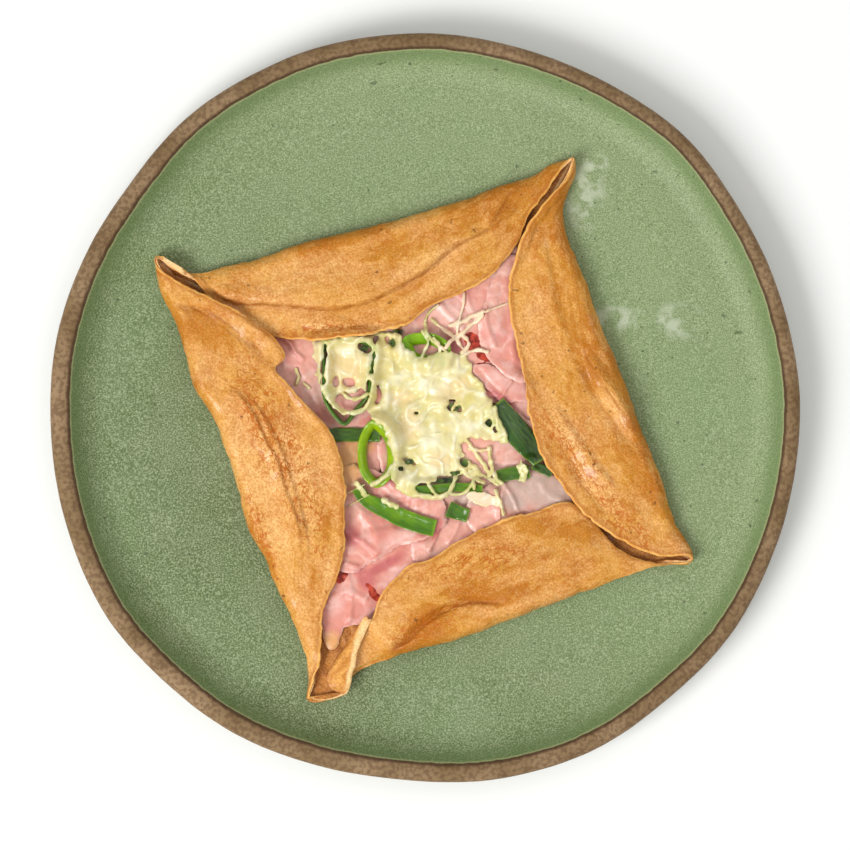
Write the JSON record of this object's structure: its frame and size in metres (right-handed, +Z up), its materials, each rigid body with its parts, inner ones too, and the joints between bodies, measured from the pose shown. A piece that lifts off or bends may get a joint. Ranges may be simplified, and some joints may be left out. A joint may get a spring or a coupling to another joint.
{
  "type": "folded savory crepe on plate",
  "caption": "Savory galette folded to an open square round ham, melted cheese and leek greens, on a round coupe plate with a raised lip.",
  "frame": {"origin": "on the table under the middle of the box round the plate's rim", "axes": "+Z up; +X to the right and +Y to the far side, as the plate is seen in the picture"},
  "size_m": [0.2754, 0.2751, 0.0182],
  "materials": {
    "plate": "satin green glaze with fine speckles, bare brown lip and foot",
    "crepe": null,
    "ham": null,
    "leek": null,
    "leek_pale": null,
    "cheese": null
  },
  "bodies": {
    "root": {"plate": "plate", "crepe": "crepe", "cheese": "cheese", "ham_left": "ham", "ham_top_right": "ham", "ham_centre": "ham", "ham_lower_lobe": "ham", "ham_lower_middle": "ham", "ham_lower_left": "ham", "ham_lower_right": "ham", "ham_roll": "ham", "ham_fold": "ham", "leek_strip_left": "leek", "leek_strip_long": "leek", "leek_strip_short": "leek", "leek_strip_edge": "leek", "leek_strip_right": "leek", "leek_strip_far": "leek", "leek_leaf": "leek", "leek_ring_left": "leek", "leek_ring_yellow": "leek_pale", "leek_ring_top": "leek"}
  },
  "joints": []
}
